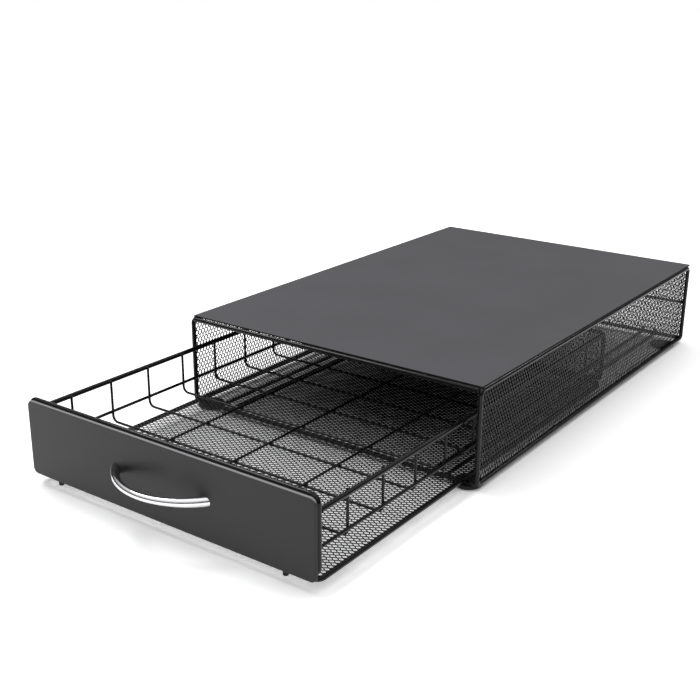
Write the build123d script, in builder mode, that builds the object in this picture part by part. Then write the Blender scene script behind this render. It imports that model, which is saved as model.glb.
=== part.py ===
from build123d import *
import os
from math import asin, degrees, sqrt

# A pull-out wire drawer under a flat steel top. Millimetres, +Z up, the front faces -Y.
# The drawer is stored as it stands in the photograph, partly pulled out.

# ---------------------------------------------------------------- casing sizes
top_width = 280.0
top_depth = 422.0
overall_height = 82.0
top_thickness = 1.2
top_corner = 1.0
top_edge_round = 0.4

frame_wire = 3.8            # diameter of the casing's frame wire
frame_inset = 0.7           # side frames' centre lines inside the sides of the top
frame_reach = 1.1           # front wires' centre lines in front of the top
frame_corner = 4.0          # bend radius, on the wire's centre line
brace_wire = 3.0
brace_rise = 37.6           # rear brace above the lower frame wires, centre to centre

foot_height = 3.0
foot_diameter = 23.0        # upper flange of the foot
foot_flange = 1.2
sole_diameter = 20.0
foot_inset = 11.0           # foot's centre inside the side wire's centre line
front_foot_setback = 7.0    # foot's centre behind the front wire's centre line
rear_foot_setback = 22.0    # foot's centre in front of the rear wire's centre line
foot_edge_round = 0.6

casing_mesh_thickness = 0.8
mesh_hem = 3.0              # plain strip around each mesh
mesh_strand = 1.6
wall_cell_width = 19.0      # least width and height of a diamond in the upright meshes
wall_cell_height = 10.0
floor_cell_width = 31.0
floor_cell_depth = 20.0

slide_wire = 3.0
slide_wire_inset = 32.6     # middle of each pair inside the side wire's centre line
slide_wire_spacing = 12.5
slide_hook_bend = 1.8
slide_hook_rise = 5.0       # top of the hook above the slide wire's centre line

# ---------------------------------------------------------------- drawer sizes
opened = 174.0              # how far the drawer stands out at rest
panel_thickness = 1.6
panel_corner = 5.0
panel_edge_round = 1.2
panel_side_gap = 5.8        # to the casing's front posts
panel_bottom_gap = 1.2      # above the casing's front bottom wire
panel_top_gap = 11.0        # below the casing's front top wire

front_loop_wire = 4.0
front_loop_inset = 0.9      # loop's centre line inside the panel's sides
front_loop_corner = 6.0
basket_wire = 3.8
basket_corner = 6.0
rear_loop_corner = 4.5
rear_loop_rise = 0.6        # rear loop's top wire above the top rails
top_rail_drop = 9.6         # top rails below the panel's top edge
lower_rail_wire = 2.4
lower_rail_rise = 22.0      # lower rails above the bottom frame
basket_mesh_thickness = 0.6

row_wire = 2.0
row_wire_bend = 5.0
row_wire_rise = 12.5        # low run of the row wires above the floor mesh
row_count = 10
first_row = 37.3            # first row wire behind the panel's face
last_row_room = 31.1        # behind the last row wire
lane_wire = 2.0
lane_count = 4
lane_wire_overhang = 8.0

bumper_diameter = 4.0
bumper_inset = 25.7         # bumpers inside the side wires of the drawer
bumper_ground_gap = 4.2

handle_span = 82.0
handle_reach = 20.0         # crown of the bow in front of the panel, on the centre line
handle_end = 8.0
handle_middle = 4.8
screw_diameter = 3.0
screw_head_diameter = 6.0
screw_head_height = 2.0
screw_depth = 3.2
screw_inset = 1.2           # screw's axis inside the end of the bow
screw_hole_gap = 0.05

slide_clearance = 0.3       # drawer above what it slides on
bumper_clearance = 0.4      # closed drawer's bumpers to the front bottom wire
hook_clearance = 2.1        # closed drawer to the rear hooks

# ---------------------------------------------------------------- levels and places
frame_bottom_z = foot_height + frame_wire / 2
frame_top_z = overall_height - top_thickness - frame_wire / 2
frame_x = top_width / 2 - frame_inset
rear_inset = frame_wire / 2 + casing_mesh_thickness     # the rear mesh is flush with the top
frame_y = (top_depth + frame_reach - rear_inset) / 2
top_setback = (frame_reach + rear_inset) / 2            # top's middle behind the frame's middle
rail_x_inner = frame_x - frame_wire / 2
bar_top_z = frame_bottom_z + frame_wire / 2

basket_floor_z = bar_top_z + slide_clearance + basket_wire / 2
floor_mesh_z = basket_floor_z + basket_wire / 2
floor_top_z = floor_mesh_z + basket_mesh_thickness

slide_wire_z = bar_top_z - slide_wire / 2
hook_arc_z = slide_wire_z + slide_hook_bend
hook_reach = slide_hook_bend + slide_wire / 2 + frame_wire / 2
hook_arc_back = sqrt(hook_reach**2 - (hook_arc_z - frame_bottom_z) ** 2)
hook_y = frame_y - hook_arc_back + slide_hook_bend      # from the casing's middle

panel_width = 2 * (rail_x_inner - panel_side_gap)
panel_bottom_z = bar_top_z + panel_bottom_gap
panel_top_z = frame_top_z - frame_wire / 2 - panel_top_gap
panel_height = panel_top_z - panel_bottom_z
panel_middle_z = (panel_top_z + panel_bottom_z) / 2

# Everything on the drawer is measured back from the panel's front face.
front_loop_back = panel_thickness + front_loop_wire / 2
bumper_rear = front_loop_back + bumper_diameter / 2
closed_face = frame_y + frame_wire / 2 + bumper_clearance + bumper_rear
drawer_depth = closed_face + hook_y - slide_wire / 2 - hook_clearance

# The part is centred on the space it takes up with the drawer at rest.
handle_front = handle_reach + handle_middle / 2
casing_y = (closed_face + opened + handle_front - frame_y - rear_inset) / 2
face_y = casing_y - closed_face - opened
front_wire_y = casing_y - frame_y
rear_wire_y = casing_y + frame_y

basket_x = panel_width / 2 - front_loop_inset
front_loop_y = face_y + front_loop_back
front_loop_bottom_z = basket_floor_z + basket_wire / 2 + front_loop_wire / 2
front_loop_top_z = panel_top_z
rear_loop_y = face_y + drawer_depth - basket_wire / 2
rear_loop_bottom_z = floor_top_z + basket_wire / 2
top_rail_z = panel_top_z - top_rail_drop
rear_loop_top_z = top_rail_z + rear_loop_rise
lower_rail_z = basket_floor_z + lower_rail_rise
rail_start_y = front_loop_y + front_loop_wire / 2
rail_end_y = rear_loop_y - basket_wire / 2

row_wire_x = basket_x - basket_wire / 2 - row_wire / 2
row_wire_z = floor_top_z + row_wire_rise
lower_rail_x = row_wire_x + row_wire / 2 + lower_rail_wire / 2
row_pitch = (drawer_depth - first_row - last_row_room) / (row_count - 1)
lane_pitch = (2 * row_wire_x - row_wire) / lane_count
bumper_x = basket_x - bumper_inset
slide_wire_x = frame_x - slide_wire_inset

os.makedirs("parts", exist_ok=True)


def save(piece, name):
    """Name a finished piece and write it."""
    piece.part.label = name
    export_step(piece.part, f"parts/{name}.step")


def straight_wire(name, start, direction, length, diameter):
    """One straight round wire with flat ends."""
    with BuildPart() as wire:
        with BuildSketch(Plane(origin=start, z_dir=direction)):
            Circle(diameter / 2)
        extrude(amount=length)
    save(wire, name)


def wire_loop(name, plane, width, height, corner, diameter):
    """A closed loop of round wire with four equal bends, centred on the plane."""
    x = width / 2
    y = height / 2
    with BuildPart() as loop:
        with BuildLine(plane) as path:
            FilletPolyline((-x, -y), (x, -y), (x, y), (-x, y), radius=corner, close=True)
        with BuildSketch(path.line ^ 0):
            Circle(diameter / 2)
        sweep(path=path.line)
    save(loop, name)


def mesh_panel(name, plane, width, height, corner, least_cell, thickness):
    """A thin sheet with rows of diamond openings that fill it up to a plain hem."""
    open_width = width - 2 * mesh_hem
    open_height = height - 2 * mesh_hem
    columns = int(open_width // least_cell[0])
    rows = int(open_height // least_cell[1])
    cell_w = open_width / columns
    cell_h = open_height / rows
    half_w = cell_w / 2 - mesh_strand
    half_h = half_w * cell_h / cell_w
    diamond = [(half_w, 0), (0, half_h), (-half_w, 0), (0, -half_h)]
    with BuildPart() as panel:
        with BuildSketch(plane):
            RectangleRounded(width, height, corner)
            with GridLocations(cell_w, cell_h, columns, rows):
                Polygon(*diamond, mode=Mode.SUBTRACT)
            with GridLocations(cell_w, cell_h, columns - 1, rows - 1):
                Polygon(*diamond, mode=Mode.SUBTRACT)
        extrude(amount=thickness)
    save(panel, name)


# ================================================================ casing
# Top plate: flat steel sheet that carries what stands on the drawer.
with BuildPart() as top_plate:
    with BuildSketch(Plane(origin=(0, casing_y + top_setback, overall_height - top_thickness))):
        RectangleRounded(top_width, top_depth, top_corner)
    extrude(amount=top_thickness)
    fillet(top_plate.faces().sort_by(Axis.Z)[-1].edges(), top_edge_round)
save(top_plate, "top_plate")

# Side frames: a closed loop of heavy wire on each side, and the straight wires that join them.
loop_height = frame_top_z - frame_bottom_z
loop_middle_z = (frame_top_z + frame_bottom_z) / 2
for side, x in (("left", -frame_x), ("right", frame_x)):
    side_plane = Plane(origin=(x, casing_y, loop_middle_z), x_dir=(0, 1, 0), z_dir=(1, 0, 0))
    wire_loop(f"side_frame_{side}", side_plane, 2 * frame_y, loop_height, frame_corner, frame_wire)
for place, y in (("front", front_wire_y), ("rear", rear_wire_y)):
    for level, z in (("top", frame_top_z), ("bottom", frame_bottom_z)):
        straight_wire(
            f"{place}_{level}_wire", (-rail_x_inner, y, z), (1, 0, 0), 2 * rail_x_inner, frame_wire
        )

# Rear brace: a thinner wire across the back at mid height.
brace_x = rail_x_inner - casing_mesh_thickness
straight_wire(
    "rear_brace_wire",
    (-brace_x, rear_wire_y, frame_bottom_z + brace_rise),
    (1, 0, 0),
    2 * brace_x,
    brace_wire,
)

# Mesh walls: the sides are welded inside the side frames, the back behind the rear wires.
side_mesh_corner = frame_corner + frame_wire / 2        # leaves room for the joining wires
wall_cell = (wall_cell_width, wall_cell_height)
for side, x in (("left", -rail_x_inner), ("right", rail_x_inner - casing_mesh_thickness)):
    mesh_panel(
        f"side_mesh_{side}",
        Plane(origin=(x, casing_y, loop_middle_z), x_dir=(0, 1, 0), z_dir=(1, 0, 0)),
        2 * frame_y,
        loop_height,
        side_mesh_corner,
        wall_cell,
        casing_mesh_thickness,
    )
rear_mesh_plane = Plane(
    origin=(0, rear_wire_y + frame_wire / 2, loop_middle_z), x_dir=(-1, 0, 0), z_dir=(0, 1, 0)
)
mesh_panel(
    "rear_mesh", rear_mesh_plane, 2 * frame_x, loop_height, frame_corner, wall_cell, casing_mesh_thickness
)

# Slide wires: two pairs from the front to the rear bottom wire, turned up at the back as stops.
slide_start_y = front_wire_y + frame_wire / 2
hook_rest_y = casing_y + hook_y
for side, centre_x in (("left", -slide_wire_x), ("right", slide_wire_x)):
    with BuildPart() as slide_wires:
        for x in (centre_x - slide_wire_spacing / 2, centre_x + slide_wire_spacing / 2):
            with BuildLine(Plane.YZ.offset(x)) as slide_path:
                FilletPolyline(
                    (slide_start_y, slide_wire_z),
                    (hook_rest_y, slide_wire_z),
                    (hook_rest_y, slide_wire_z + slide_hook_rise),
                    radius=slide_hook_bend,
                )
            with BuildSketch(slide_path.line ^ 0):
                Circle(slide_wire / 2)
            sweep(path=slide_path.line)
    save(slide_wires, f"slide_wires_{side}")

# Rubber feet near the four corners: a round sole under a wider flange that holds the wires.
foot_x = frame_x - foot_inset
front_foot_y = front_wire_y + front_foot_setback
rear_foot_y = rear_wire_y - rear_foot_setback
for name, x, y in (
    ("foot_front_left", -foot_x, front_foot_y),
    ("foot_front_right", foot_x, front_foot_y),
    ("foot_rear_left", -foot_x, rear_foot_y),
    ("foot_rear_right", foot_x, rear_foot_y),
):
    with BuildPart() as foot:
        with BuildSketch(Plane(origin=(x, y, 0))):
            Circle(sole_diameter / 2)
        extrude(amount=foot_height)
        fillet(foot.edges().sort_by(Axis.Z)[0], foot_edge_round)
        with BuildSketch(Plane(origin=(x, y, foot_height - foot_flange))):
            Circle(foot_diameter / 2)
        extrude(amount=foot_flange)
    save(foot, name)

# ================================================================ drawer
# Front panel: pressed steel sheet with softened edges, drilled for the handle.
screw_x = handle_span / 2 - screw_inset
panel_plane = Plane(origin=(0, face_y, panel_middle_z), x_dir=(1, 0, 0), z_dir=(0, -1, 0))
with BuildPart() as front_panel:
    with BuildSketch(panel_plane):
        RectangleRounded(panel_width, panel_height, panel_corner)
    extrude(amount=-panel_thickness)
    fillet(front_panel.faces().sort_by(Axis.Y)[0].edges(), panel_edge_round)
    with Locations(panel_plane):
        with Locations((-screw_x, 0), (screw_x, 0)):
            Hole(screw_diameter / 2 + screw_hole_gap, depth=panel_thickness)
save(front_panel, "front_panel")

# Handle: a bow of round bar, thicker at its ends, cut flat where it meets the panel.
bow_radius = ((handle_span / 2) ** 2 + handle_reach**2) / (2 * handle_reach)
bow_half_angle = degrees(asin(handle_span / 2 / bow_radius))
bow_extra = 4.0             # degrees of bow cut off behind the panel's face
bow_centre_y = face_y - handle_reach + bow_radius
bow_plane = Plane(origin=(0, bow_centre_y, panel_middle_z))
face_plane = Plane(origin=(0, face_y, panel_middle_z), x_dir=(1, 0, 0), z_dir=(0, 1, 0))
with BuildPart() as handle:
    with BuildLine(bow_plane) as bow:
        CenterArc(
            (0, 0), bow_radius, 270 - bow_half_angle - bow_extra, 2 * (bow_half_angle + bow_extra)
        )
    for place, diameter in ((0, handle_end), (0.5, handle_middle), (1, handle_end)):
        with BuildSketch(bow.line ^ place):
            Circle(diameter / 2)
    sweep(path=bow.line, multisection=True)
    split(bisect_by=face_plane, keep=Keep.BOTTOM)
    with Locations(face_plane):
        with Locations((-screw_x, 0), (screw_x, 0)):
            Hole(screw_diameter / 2 + screw_hole_gap, depth=screw_depth + screw_hole_gap)
save(handle, "handle")

# Handle screws: pan heads behind the panel.
screw_plane = Plane(
    origin=(0, face_y + panel_thickness, panel_middle_z), x_dir=(1, 0, 0), z_dir=(0, 1, 0)
)
with BuildPart() as handle_screws:
    with BuildSketch(screw_plane):
        with Locations((-screw_x, 0), (screw_x, 0)):
            Circle(screw_head_diameter / 2)
    extrude(amount=screw_head_height)
    fillet(handle_screws.faces().group_by(Axis.Y)[-1].edges(), screw_head_height / 3)
    with BuildSketch(screw_plane):
        with Locations((-screw_x, 0), (screw_x, 0)):
            Circle(screw_diameter / 2)
    extrude(amount=-(panel_thickness + screw_depth))
save(handle_screws, "handle_screws")

# Front loop behind the panel, and the rear loop that closes the basket.
front_loop_middle_z = (front_loop_top_z + front_loop_bottom_z) / 2
wire_loop(
    "basket_front_loop",
    Plane(origin=(0, front_loop_y, front_loop_middle_z), x_dir=(1, 0, 0), z_dir=(0, -1, 0)),
    2 * basket_x,
    front_loop_top_z - front_loop_bottom_z,
    front_loop_corner,
    front_loop_wire,
)
rear_loop_middle_z = (rear_loop_top_z + rear_loop_bottom_z) / 2
wire_loop(
    "basket_rear_loop",
    Plane(origin=(0, rear_loop_y, rear_loop_middle_z), x_dir=(1, 0, 0), z_dir=(0, -1, 0)),
    2 * basket_x,
    rear_loop_top_z - rear_loop_bottom_z,
    rear_loop_corner,
    basket_wire,
)

# Bottom frame: a flat loop that slides on the casing's bottom wires.
wire_loop(
    "basket_bottom_loop",
    Plane(origin=(0, (front_loop_y + rear_loop_y) / 2, basket_floor_z)),
    2 * basket_x,
    rear_loop_y - front_loop_y,
    basket_corner,
    basket_wire,
)

# Top and lower rails along both sides.
rail_length = rail_end_y - rail_start_y
for side, sign in (("left", -1), ("right", 1)):
    straight_wire(
        f"top_rail_{side}", (sign * basket_x, rail_start_y, top_rail_z), (0, 1, 0), rail_length, basket_wire
    )
    straight_wire(
        f"lower_rail_{side}",
        (sign * lower_rail_x, rail_start_y, lower_rail_z),
        (0, 1, 0),
        rail_length,
        lower_rail_wire,
    )

# Floor mesh, welded on top of the bottom frame.
floor_depth = rear_loop_y - rail_start_y
mesh_panel(
    "floor_mesh",
    Plane(origin=(0, (rear_loop_y + rail_start_y) / 2, floor_mesh_z)),
    2 * basket_x,
    floor_depth,
    top_corner,
    (floor_cell_width, floor_cell_depth),
    basket_mesh_thickness,
)

# Rear mesh of the basket, in front of the rear loop and between the rails.
rear_mesh_half_width = basket_x - basket_wire / 2 - slide_clearance
mesh_panel(
    "basket_rear_mesh",
    Plane(
        origin=(0, rail_end_y - basket_mesh_thickness, (rear_loop_top_z + floor_top_z) / 2),
        x_dir=(-1, 0, 0),
        z_dir=(0, 1, 0),
    ),
    2 * rear_mesh_half_width,
    rear_loop_top_z - floor_top_z,
    top_corner,
    wall_cell,
    basket_mesh_thickness,
)

# Row wires: each hangs from the top rails and dips under the rows that it holds apart.
for row in range(row_count):
    row_y = face_y + first_row + row * row_pitch
    row_plane = Plane(origin=(0, row_y, 0), x_dir=(1, 0, 0), z_dir=(0, -1, 0))
    with BuildPart() as row_wire_piece:
        with BuildLine(row_plane) as row_path:
            FilletPolyline(
                (-row_wire_x, top_rail_z + row_wire / 2),
                (-row_wire_x, row_wire_z),
                (row_wire_x, row_wire_z),
                (row_wire_x, top_rail_z + row_wire / 2),
                radius=row_wire_bend,
            )
        with BuildSketch(row_path.line ^ 0):
            Circle(row_wire / 2)
        sweep(path=row_path.line)
    save(row_wire_piece, f"row_wire_{row + 1:02d}")

# Lane wires: lie across the row wires and keep the lanes apart.
lane_wire_start = face_y + first_row - lane_wire_overhang
lane_wire_length = (row_count - 1) * row_pitch + 2 * lane_wire_overhang
for lane in range(1, lane_count):
    lane_x = (lane - lane_count / 2) * lane_pitch
    straight_wire(
        f"lane_wire_{lane}",
        (lane_x, lane_wire_start, row_wire_z + row_wire / 2 + lane_wire / 2),
        (0, 1, 0),
        lane_wire_length,
        lane_wire,
    )

# Bumpers: small rubber pegs under the front of the drawer, which meet the front bottom wire.
for side, sign in (("left", -1), ("right", 1)):
    with BuildPart() as bumper:
        with BuildSketch(Plane(origin=(sign * bumper_x, front_loop_y, bumper_ground_gap))):
            Circle(bumper_diameter / 2)
        extrude(amount=basket_floor_z - basket_wire / 2 - bumper_ground_gap)
        fillet(bumper.edges().sort_by(Axis.Z)[0], foot_edge_round)
    save(bumper, f"bumper_{side}")
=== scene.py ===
from math import cos, radians, sin

import bmesh
import bpy
from mathutils import Matrix, Vector


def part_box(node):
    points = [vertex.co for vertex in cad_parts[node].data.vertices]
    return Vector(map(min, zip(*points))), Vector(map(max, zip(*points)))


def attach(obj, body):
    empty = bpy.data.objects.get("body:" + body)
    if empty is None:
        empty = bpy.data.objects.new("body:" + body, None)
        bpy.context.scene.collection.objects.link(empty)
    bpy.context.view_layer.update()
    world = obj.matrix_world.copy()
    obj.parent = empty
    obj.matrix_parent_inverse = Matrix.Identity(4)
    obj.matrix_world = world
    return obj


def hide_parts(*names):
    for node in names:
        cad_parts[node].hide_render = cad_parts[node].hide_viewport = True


# A low casing of wire and mesh under a flat steel top, with a wire drawer that slides out
# at the front. Metres, +Z up, the front faces -Y, the drawer stands partly open.
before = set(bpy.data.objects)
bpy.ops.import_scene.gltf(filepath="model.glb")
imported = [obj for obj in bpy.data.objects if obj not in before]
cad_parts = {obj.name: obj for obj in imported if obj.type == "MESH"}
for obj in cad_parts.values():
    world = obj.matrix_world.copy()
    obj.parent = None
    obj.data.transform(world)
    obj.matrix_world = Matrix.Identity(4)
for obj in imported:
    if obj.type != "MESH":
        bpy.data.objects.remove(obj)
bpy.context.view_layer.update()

# ---------------------------------------------------------------- top plate
# A sheet of steel with softened edges that lies on the wire frame. It is powder coated:
# a dark grey satin skin with a very fine grain and faint cloudy patches. Its edges and
# underside, wherever it doesn't face up, carry painted shade: nearly black and dull.
spot_span = (0.35, 0.65)        # most of a soft noise lies between these
coat_colour = (0.084, 0.083, 0.092)
coat_shares = (0.97, 1.03)      # its darkest and lightest patch, as shares of the colour
coat_grain = 0.0005             # size of the grain in the coat
coat_ripple = 0.0028            # size of the slow ripple that baking leaves
coat_cloud = 0.070              # size of the faint patches
coat_grain_depth = 0.00002
coat_ripple_depth = 0.00003
coat_roughness = (0.36, 0.39)
coat_gloss = 0.48               # specular level
# Painted shade on the plate's edges and underside: a near-black, dull colour where it doesn't face up.
edge_shade_slope = (0.93, 0.99)   # the edge fades out where the surface faces up this much
painted_edge_shade = (0.006, 0.006, 0.007)
edge_shade_roughness = 1.0


def new_finish(name):
    """An empty finish: its material, its shader and the place on the piece."""
    finish = bpy.data.materials.new(name)
    finish.use_nodes = True
    shader = finish.node_tree.nodes["Principled BSDF"]
    place = finish.node_tree.nodes.new("ShaderNodeTexCoord").outputs["Object"]
    return finish, shader, place


def mottle(finish, place, size, detail=2.0):
    """Soft random spots of about this size, from 0 to 1."""
    noise = finish.node_tree.nodes.new("ShaderNodeTexNoise")
    noise.inputs["Scale"].default_value = 1.0 / size
    noise.inputs["Detail"].default_value = detail
    finish.node_tree.links.new(place, noise.inputs["Vector"])
    return noise.outputs["Fac"]


def spread(finish, spots, reach, span=spot_span):
    """What lies within the span, as a number from one end of the reach to the other."""
    scale = finish.node_tree.nodes.new("ShaderNodeMapRange")
    scale.inputs["From Min"].default_value = span[0]
    scale.inputs["From Max"].default_value = span[1]
    scale.inputs["To Min"].default_value = reach[0]
    scale.inputs["To Max"].default_value = reach[1]
    finish.node_tree.links.new(spots, scale.inputs["Value"])
    return scale.outputs["Result"]


def tint(finish, spots, colour, shares):
    """The spots as a colour between two shares of it."""
    ramp = finish.node_tree.nodes.new("ShaderNodeValToRGB")
    for end in (0, 1):
        stop = ramp.color_ramp.elements[end]
        stop.position = spot_span[end]
        stop.color = (*(channel * shares[end] for channel in colour), 1.0)
    finish.node_tree.links.new(spots, ramp.inputs["Fac"])
    return ramp.outputs["Color"]


def vary(finish, shader, spots, colour, shares, roughness):
    """Lets the colour and the roughness change with the spots."""
    links = finish.node_tree.links
    links.new(tint(finish, spots, colour, shares), shader.inputs["Base Color"])
    links.new(spread(finish, spots, roughness), shader.inputs["Roughness"])


def relief(finish, shader, *layers):
    """Raises the surface by each layer of spots, given with its depth."""
    normal = None
    for spots, depth in layers:
        bump = finish.node_tree.nodes.new("ShaderNodeBump")
        bump.inputs["Distance"].default_value = depth
        finish.node_tree.links.new(spots, bump.inputs["Height"])
        if normal:
            finish.node_tree.links.new(normal, bump.inputs["Normal"])
        normal = bump.outputs["Normal"]
    finish.node_tree.links.new(normal, shader.inputs["Normal"])


def powder_coat(name, colour, gloss):
    """Satin powder coat with a fine grain."""
    finish, shader, place = new_finish(name)
    cloud = mottle(finish, place, coat_cloud, detail=3.0)
    grain = mottle(finish, place, coat_grain)
    ripple = mottle(finish, place, coat_ripple)
    vary(finish, shader, cloud, colour, coat_shares, coat_roughness)
    shader.inputs["Specular IOR Level"].default_value = gloss
    relief(finish, shader, (ripple, coat_ripple_depth), (grain, coat_grain_depth))
    return finish


def upturned(finish, slope, reach=(0.0, 1.0)):
    """How far the surface faces up: the slope's two ends give the two ends of the reach."""
    tree = finish.node_tree
    normal = tree.nodes.new("ShaderNodeNewGeometry").outputs["Normal"]
    parts = tree.nodes.new("ShaderNodeSeparateXYZ")
    tree.links.new(normal, parts.inputs["Vector"])
    return spread(finish, parts.outputs["Z"], reach, slope)


def cover(finish, name, kind, amount, value):
    """Covers what one input of the shader shows by a plain value, where the amount is 1."""
    tree = finish.node_tree
    shown = tree.nodes["Principled BSDF"].inputs[name]
    blend = tree.nodes.new("ShaderNodeMix")
    blend.data_type = kind
    blend.inputs["B"].default_value = value
    tree.links.new(amount, blend.inputs["Factor"])
    tree.links.new(shown.links[0].from_socket, blend.inputs["A"])
    tree.links.new(blend.outputs["Result"], shown)


def dress(finish, *names):
    """Gives CAD nodes their finish."""
    for name in names:
        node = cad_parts[name]
        node.data.materials.clear()
        node.data.materials.append(finish)


grey_coat = powder_coat("grey_powder_coat", coat_colour, coat_gloss)
# Painted shade: where the plate doesn't face up, its colour is covered by near black.
edge_shade_mask = upturned(grey_coat, edge_shade_slope, reach=(1.0, 0.0))
cover(grey_coat, "Base Color", "RGBA", edge_shade_mask, (*painted_edge_shade, 1.0))
cover(grey_coat, "Roughness", "FLOAT", edge_shade_mask, edge_shade_roughness)
dress(grey_coat, "top_plate")

# ---------------------------------------------------------------- wire frame of the casing
# Heavy round steel wire: a loop with bent corners on each side, joined by straight wires
# across and a brace at the back, resistance welded, then dipped in black enamel.
enamel_colour = (0.004, 0.004, 0.005)
enamel_shares = (0.85, 1.2)     # where the enamel is thick and thin
enamel_roughness = (0.12, 0.20)
enamel_gloss = 0.24             # specular level
enamel_flow = 0.012             # size of the slow thick and thin places of the enamel
enamel_peel = 0.0030            # size of the fine orange peel
enamel_peel_depth = 0.000002
joining_wires = ["front_top_wire", "front_bottom_wire", "rear_top_wire", "rear_bottom_wire"]
slide_wires = ["slide_wires_left", "slide_wires_right"]


def enamel(name, colour, roughness, gloss):
    """Glossy dipped enamel with thick and thin places."""
    finish, shader, place = new_finish(name)
    flow = mottle(finish, place, enamel_flow)
    peel = mottle(finish, place, enamel_peel)
    vary(finish, shader, flow, colour, enamel_shares, roughness)
    shader.inputs["Specular IOR Level"].default_value = gloss
    relief(finish, shader, (peel, enamel_peel_depth))
    return finish


black_enamel = enamel("black_wire_enamel", enamel_colour, enamel_roughness, enamel_gloss)
dress(black_enamel, "side_frame_left", "side_frame_right", "rear_brace_wire")
dress(black_enamel, *joining_wires, *slide_wires)

# ---------------------------------------------------------------- mesh walls of the casing
# Expanded steel: slits are cut in a sheet and drawn open into small six-sided cells, and
# the strands stand askew. The walls are cut to size and welded behind the frame wires.
cell_long_way = 0.0066          # from one cell to the next along the slits
cell_short_way = 0.0037
strand_width = 0.00074
bond_length = 0.0010            # solid place between the ends of two slits
sheet_gauge = 0.00030
strand_lean = 0.00014           # how far a strand's edges stand out of the sheet
flat_middle = cell_short_way / 8            # this near its middle line a cell doesn't lean
mesh_colour = (0.006, 0.006, 0.007)
mesh_roughness = (0.26, 0.36)
mesh_gloss = 0.26               # specular level
side_mesh_corner = 0.0059       # leaves room for the wires that join the side frames
rear_mesh_corner = 0.003
corner_cuts = 3                 # straight cuts that round one corner
along = Vector((0, 1, 0))
across = Vector((1, 0, 0))
upward = Vector((0, 0, 1))


def expanded_cells(width, height):
    """A flat net of cells, width along X by height along Y, centred, with the slits along Y."""
    step_x = cell_short_way / 2
    step_y = cell_long_way / 2
    columns = 2 * round(width / cell_short_way)
    rows = round(height / step_y)
    net = bmesh.new()
    bmesh.ops.create_grid(net, x_segments=columns, y_segments=rows, size=0.5)
    for point in net.verts:
        column = round((point.co.x + 0.5) * columns)
        row = round((point.co.y + 0.5) * rows)
        starts_bond = (column + row) % 2 == 0
        slide = -bond_length / 2 if starts_bond else bond_length / 2 - step_y
        point.co = ((column - columns / 2) * step_x, (row + 0.5 - rows / 2) * step_y + slide, 0.0)
        point.tag = starts_bond
    cuts = []
    for edge in net.edges:
        low, high = sorted(edge.verts, key=lambda point: point.co.y)
        upright = abs(low.co.x - high.co.x) < step_x / 2
        if upright and not low.tag and len(edge.link_faces) == 2:
            cuts.append(edge)
    bmesh.ops.dissolve_edges(net, edges=cuts, use_verts=False)
    return net


def expanded_sheet(width, height):
    """Expanded steel, still flat and a cell too large on each side."""
    sheet = expanded_cells(width + 2 * cell_short_way, height + 2 * cell_long_way)
    cells = sheet.faces[:]
    bmesh.ops.inset_individual(sheet, faces=cells, thickness=strand_width / 2, use_even_offset=True)
    for cell in cells:
        middle = cell.calc_center_median().x
        for point in cell.verts:
            side = point.co.x - middle
            if abs(side) > flat_middle:
                point.co.z = strand_lean if side < 0 else -strand_lean
    bmesh.ops.delete(sheet, geom=cells, context="FACES")
    return sheet


def cut(sheet, place, outward):
    """Cuts away what lies beyond the place."""
    parts = sheet.verts[:] + sheet.edges[:] + sheet.faces[:]
    bmesh.ops.bisect_plane(sheet, geom=parts, plane_co=place, plane_no=outward, clear_outer=True)


def trim(sheet, width, height, corner):
    """Cuts the sheet to a rectangle around its middle, with rounded corners."""
    for side in (-1, 1):
        cut(sheet, (side * width / 2, 0, 0), (side, 0, 0))
        cut(sheet, (0, side * height / 2, 0), (0, side, 0))
    for side in (-1, 1):
        for end in (-1, 1):
            middle = Vector((side * (width / 2 - corner), end * (height / 2 - corner), 0.0))
            for step in range(corner_cuts):
                angle = radians(90) * (step + 1) / (corner_cuts + 1)
                outward = Vector((side * cos(angle), end * sin(angle), 0.0))
                cut(sheet, middle + corner * outward, outward)


def thicken(sheet):
    """Gives the flat sheet its gauge, centred."""
    bmesh.ops.recalc_face_normals(sheet, faces=sheet.faces[:])
    bmesh.ops.solidify(sheet, geom=sheet.faces[:], thickness=sheet_gauge)
    heights = [point.co.z for point in sheet.verts]
    bmesh.ops.translate(sheet, verts=sheet.verts[:], vec=(0, 0, -(max(heights) + min(heights)) / 2))
    bmesh.ops.recalc_face_normals(sheet, faces=sheet.faces[:])


def stand(sheet, place, wide_way, slit_way):
    """Turns the flat sheet so that its X and Y run these two ways, and brings it to its place."""
    turn = Matrix((wide_way, slit_way, wide_way.cross(slit_way))).transposed().to_4x4()
    bmesh.ops.transform(sheet, matrix=Matrix.Translation(place) @ turn, verts=sheet.verts[:])


def middle_of(node):
    """The middle of a CAD node's box."""
    low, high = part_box(node)
    return (low + high) / 2


def finished_piece(name, mesh, finish, body, smooth=False):
    """Makes the mesh an object with its finish, which moves with its body."""
    data = bpy.data.meshes.new(name)
    mesh.to_mesh(data)
    mesh.free()
    data.materials.append(finish)
    if smooth:
        data.shade_smooth()
    else:
        data.shade_flat()
    piece = bpy.data.objects.new(name, data)
    bpy.context.scene.collection.objects.link(piece)
    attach(piece, body)
    return piece


def mesh_wall(name, node, body, wide_way, slit_way, corner):
    """An expanded sheet in the place of a CAD node."""
    low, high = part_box(node)
    width = abs((high - low).dot(wide_way))
    height = abs((high - low).dot(slit_way))
    sheet = expanded_sheet(width, height)
    trim(sheet, width, height, corner)
    thicken(sheet)
    stand(sheet, middle_of(node), wide_way, slit_way)
    wall = finished_piece(name, sheet, black_mesh, body)
    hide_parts(node)


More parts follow.
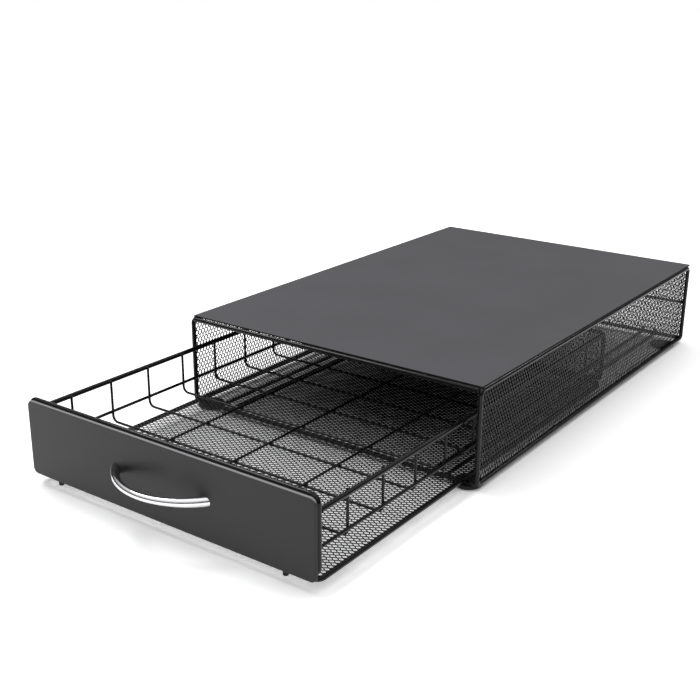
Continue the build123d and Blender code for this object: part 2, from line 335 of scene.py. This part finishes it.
black_mesh = enamel("black_mesh_enamel", mesh_colour, mesh_roughness, mesh_gloss)
for node in ("side_mesh_left", "side_mesh_right"):
    mesh_wall(f"{node}_expanded", node, "casing", along, upward, side_mesh_corner)
mesh_wall("rear_mesh_expanded", "rear_mesh", "casing", across, upward, rear_mesh_corner)

# ---------------------------------------------------------------- welds of the casing
# Small swollen spots where the wires across meet the side frames, and where the slide wires
# and the brace end. They are melted from the wires and enamelled with them.
weld_round = 8                  # faces around a bead, and rings from end to end
weld_rings = 5
frame_weld = (0.0011, 0.0021, 0.0021)       # half a bead's size in X, Y and Z
brace_weld = (0.0010, 0.0019, 0.0019)
slide_weld = (0.0019, 0.0009, 0.0014)
weld_inset = 0.0003             # beads of the top and bottom wires sit this much inwards
slide_wire_half = 0.0015        # half a slide wire's thickness


def add_weld(welds, place, half_size):
    """One flattened bead."""
    made = bmesh.ops.create_uvsphere(welds, u_segments=weld_round, v_segments=weld_rings, radius=1.0)
    bmesh.ops.scale(welds, vec=half_size, verts=made["verts"])
    bmesh.ops.translate(welds, vec=place, verts=made["verts"])


casing_welds = bmesh.new()
for name in joining_wires:
    low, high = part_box(name)
    middle = middle_of(name)
    inward = weld_inset if "bottom" in name else -weld_inset
    for x in (low.x, high.x):
        add_weld(casing_welds, (x, middle.y, middle.z + inward), frame_weld)
low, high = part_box("rear_brace_wire")
middle = middle_of("rear_brace_wire")
for x in (low.x, high.x):
    add_weld(casing_welds, (x, middle.y, middle.z), brace_weld)
for name in slide_wires:
    low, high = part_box(name)
    for x in (low.x + slide_wire_half, high.x - slide_wire_half):
        add_weld(casing_welds, (x, low.y, low.z + slide_wire_half), slide_weld)
finished_piece("casing_welds", casing_welds, black_enamel, "casing", smooth=True)

# ---------------------------------------------------------------- feet and bumpers
# Moulded black rubber: four round feet under the frame's corners, and two pegs under the
# front of the drawer.
rubber_colour = (0.016, 0.016, 0.016)
rubber_shares = (0.8, 1.3)
rubber_roughness = (0.65, 0.80)
rubber_grain = 0.0006
rubber_grain_depth = 0.00003


def rubber(name):
    """Matt moulded rubber."""
    finish, shader, place = new_finish(name)
    grain = mottle(finish, place, rubber_grain)
    vary(finish, shader, grain, rubber_colour, rubber_shares, rubber_roughness)
    relief(finish, shader, (grain, rubber_grain_depth))
    return finish


black_rubber = rubber("black_rubber")
dress(black_rubber, "foot_front_left", "foot_front_right", "foot_rear_left", "foot_rear_right")
dress(black_rubber, "bumper_left", "bumper_right")

# ---------------------------------------------------------------- drawer front
# A flat steel sheet with rounded corners and softened edges, powder coated in a darker grey
# than the top plate. Its softened top edge carries a painted highlight: a light grey where it faces up.
front_colour = (0.026, 0.026, 0.027)
front_gloss = 0.30              # specular level
# Painted highlight on the top edge: where the surface faces up this much, its colour turns light grey.
painted_highlight_slope = (0.30, 0.62)   # the edge shows where the surface faces up this much
painted_highlight_colour = (0.30, 0.30, 0.31)

front_coat = powder_coat("front_powder_coat", front_colour, front_gloss)
# Painted highlight: the upward-facing top edge is covered by a light grey.
painted_highlight_mask = upturned(front_coat, painted_highlight_slope)
cover(front_coat, "Base Color", "RGBA", painted_highlight_mask, (*painted_highlight_colour, 1.0))
dress(front_coat, "front_panel")

# ---------------------------------------------------------------- handle
# A cast bow, thick at its ends, polished and chrome plated. Two zinc plated screws hold it
# from behind the drawer's front.
chrome_colour = (0.80, 0.80, 0.82)
chrome_shares = (0.97, 1.0)
chrome_roughness = (0.03, 0.08)
chrome_smudge = 0.018           # size of the faint smudges
zinc_colour = (0.52, 0.52, 0.50)
zinc_shares = (0.85, 1.0)
zinc_roughness = (0.25, 0.42)
zinc_cloud = 0.0015             # size of the cloudy spots
plate_depth = 0.00001           # relief of both platings


def plated(name, colour, shares, roughness, smudge):
    """Plated metal with smudges of this size."""
    finish, shader, place = new_finish(name)
    spots = mottle(finish, place, smudge, detail=3.0)
    shader.inputs["Metallic"].default_value = 1.0
    vary(finish, shader, spots, colour, shares, roughness)
    relief(finish, shader, (spots, plate_depth))
    return finish


bright_chrome = plated("bright_chrome", chrome_colour, chrome_shares, chrome_roughness, chrome_smudge)
zinc_plate = plated("zinc_plate", zinc_colour, zinc_shares, zinc_roughness, zinc_cloud)
dress(bright_chrome, "handle")
dress(zinc_plate, "handle_screws")

# ---------------------------------------------------------------- wires of the basket
# The same enamelled wire in several thicknesses: loops at the front, back and floor, two
# rails on each side, thin wires across under each row and along between the lanes.
row_wires = sorted(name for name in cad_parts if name.startswith("row_wire_"))
lane_wires = sorted(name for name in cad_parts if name.startswith("lane_wire_"))
rails = ("top_rail", "lower_rail")

dress(black_enamel, "basket_front_loop", "basket_rear_loop", "basket_bottom_loop")
for rail in rails:
    dress(black_enamel, f"{rail}_left", f"{rail}_right")
dress(black_enamel, *row_wires, *lane_wires)

# ---------------------------------------------------------------- welds of the basket
# A bead where each row wire touches the rails beside it and the lane wires on top of it.
# They are of the same kind as the welds of the casing, and smaller.
rail_weld = (0.0006, 0.0014, 0.0010)        # half a bead's size in X, Y and Z
lane_weld = (0.0012, 0.0012, 0.0005)

drawer_welds = bmesh.new()
for name in row_wires:
    low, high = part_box(name)
    row_y = middle_of(name).y
    for side, x in (("left", low.x), ("right", high.x)):
        for rail in rails:
            add_weld(drawer_welds, (x, row_y, middle_of(f"{rail}_{side}").z), rail_weld)
    for lane in lane_wires:
        lane_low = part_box(lane)[0]
        add_weld(drawer_welds, (middle_of(lane).x, row_y, lane_low.z), lane_weld)
finished_piece("drawer_welds", drawer_welds, black_enamel, "drawer", smooth=True)

# ---------------------------------------------------------------- mesh of the basket
# The floor and the back of the drawer are the same expanded steel as the casing's walls.
# The floor has its slits across the drawer, and is laid in strips that meet.
floor_strips = 2
basket_mesh_corner = 0.001


def mesh_floor(name, node, body):
    """Expanded sheets side by side, in the place of a CAD node that lies flat."""
    low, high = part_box(node)
    size = high - low
    length = size.y / floor_strips
    whole = expanded_sheet(size.y, size.x)
    trim(whole, size.y, size.x, basket_mesh_corner)
    for strip in range(floor_strips):
        part = whole.copy()
        start = -size.y / 2 + strip * length
        cut(part, (start, 0, 0), (-1, 0, 0))
        cut(part, (start + length, 0, 0), (1, 0, 0))
        thicken(part)
        stand(part, middle_of(node), along, -across)
        piece = finished_piece(f"{name}_{strip + 1}", part, black_mesh, body)
        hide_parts(node)
    whole.free()


mesh_floor("floor_mesh_expanded", "floor_mesh", "drawer")
mesh_wall("basket_rear_mesh_expanded", "basket_rear_mesh", "drawer", across, upward, basket_mesh_corner)

# ---------------------------------------------------------------- floor, light and camera
# A white floor that keeps the soft shadow, a sky that is dark near the horizon and brightest
# overhead, a broad lamp from above on the left, a small one from behind, and the camera at
# the photograph's angle.
floor_size = 8.0
floor_bounce = 0.80             # how white the floor is to the light that it throws back
floor_white = 1.52              # and to the camera and in reflections, where it is plain white
sky_low = 0.04                  # the sky's level at the horizon and overhead
sky_high = 1.22
sky_dark_rise = 0.12            # the sky stays dark up to here, as the sine of the angle
broad_lamp_place = (-0.78, -0.14, 1.12)
broad_lamp_target = (0.0, 0.0, 0.04)
broad_lamp_size = 0.42
broad_lamp_power = 4.4
rim_lamp_place = (0.15, 1.40, 1.05)
rim_lamp_target = (0.0, 0.1, 0.04)
rim_lamp_size = 0.22
rim_lamp_power = 1.3


def ray_is(tree, *kinds):
    """1 for a ray of one of these kinds, else 0."""
    path = tree.nodes.new("ShaderNodeLightPath")
    total = path.outputs[kinds[0]]
    for kind in kinds[1:]:
        join = tree.nodes.new("ShaderNodeMath")
        join.operation = "MAXIMUM"
        tree.links.new(total, join.inputs[0])
        tree.links.new(path.outputs[kind], join.inputs[1])
        total = join.outputs["Value"]
    return total


def white_floor():
    """A broad white plane under the object."""
    plane = bmesh.new()
    bmesh.ops.create_grid(plane, x_segments=1, y_segments=1, size=floor_size / 2)
    data = bpy.data.meshes.new("studio_floor")
    plane.to_mesh(data)
    plane.free()
    paper = bpy.data.materials.new("white_paper")
    paper.use_nodes = True
    tree = paper.node_tree
    shader = tree.nodes["Principled BSDF"]
    shader.inputs["Roughness"].default_value = 1.0
    shader.inputs["Specular IOR Level"].default_value = 0.0
    white = tree.nodes.new("ShaderNodeMapRange")
    white.inputs["To Min"].default_value = floor_bounce
    white.inputs["To Max"].default_value = floor_white
    seen = ray_is(tree, "Is Camera Ray", "Is Glossy Ray", "Is Transmission Ray")
    tree.links.new(seen, white.inputs["Value"])
    tree.links.new(white.outputs["Result"], shader.inputs["Base Color"])
    data.materials.append(paper)
    floor = bpy.data.objects.new("studio_floor", data)
    bpy.context.scene.collection.objects.link(floor)


def white_sky():
    """A soft sky, brightest overhead, that is plain white behind the object."""
    world = bpy.data.worlds.new("studio_sky")
    world.use_nodes = True
    bpy.context.scene.world = world
    tree = world.node_tree
    background = tree.nodes["Background"]
    background.inputs["Color"].default_value = (1.0, 1.0, 1.0, 1.0)
    direction = tree.nodes.new("ShaderNodeTexCoord").outputs["Generated"]
    parts = tree.nodes.new("ShaderNodeSeparateXYZ")
    tree.links.new(direction, parts.inputs["Vector"])
    height = tree.nodes.new("ShaderNodeMapRange")
    height.interpolation_type = "SMOOTHSTEP"
    height.inputs["From Min"].default_value = sky_dark_rise
    height.inputs["To Min"].default_value = sky_low
    height.inputs["To Max"].default_value = sky_high
    tree.links.new(parts.outputs["Z"], height.inputs["Value"])
    level = tree.nodes.new("ShaderNodeMapRange")
    level.inputs["To Max"].default_value = 1.0
    tree.links.new(height.outputs["Result"], level.inputs["To Min"])
    tree.links.new(ray_is(tree, "Is Camera Ray"), level.inputs["Value"])
    tree.links.new(level.outputs["Result"], background.inputs["Strength"])


def lamp(name, place, target, size, power):
    """A square soft lamp that points at the target."""
    data = bpy.data.lights.new(name, "AREA")
    data.size = size
    data.energy = power
    light = bpy.data.objects.new(name, data)
    light.location = place
    light.rotation_euler = (Vector(target) - Vector(place)).to_track_quat("-Z", "Y").to_euler()
    bpy.context.scene.collection.objects.link(light)


white_floor()
white_sky()
lamp("broad_lamp", broad_lamp_place, broad_lamp_target, broad_lamp_size, broad_lamp_power)
lamp("rim_lamp", rim_lamp_place, rim_lamp_target, rim_lamp_size, rim_lamp_power)

view_azimuth = radians(35.75)   # from straight ahead towards the right side
view_elevation = radians(19.37)
view_roll = radians(0.39)
view_reach = (0.4846, -0.85095, 0.3624)     # from the middle of the top, at the floor's level
view_lens = 56.16
view_film = 36.0                # width of the film behind the lens
view_nearest = 0.01             # nothing closer than this shows


def photograph_camera():
    """The camera where the photograph was taken from."""
    data = bpy.data.cameras.new("photograph")
    data.lens = view_lens
    data.sensor_width = view_film
    data.clip_start = view_nearest
    camera = bpy.data.objects.new("photograph", data)
    back = Vector((
        sin(view_azimuth) * cos(view_elevation),
        -cos(view_azimuth) * cos(view_elevation),
        sin(view_elevation),
    ))
    right = Vector((cos(view_azimuth), sin(view_azimuth), 0.0))
    turn = Matrix((right, back.cross(right), back)).transposed()
    middle = middle_of("top_plate")
    place = Vector((middle.x, middle.y, 0.0)) + Vector(view_reach)
    turned = (turn @ Matrix.Rotation(view_roll, 3, "Z")).to_4x4()
    camera.matrix_world = Matrix.Translation(place) @ turned
    bpy.context.scene.collection.objects.link(camera)
    bpy.context.scene.camera = camera


photograph_camera()
bpy.context.scene.view_settings.view_transform = "Standard"
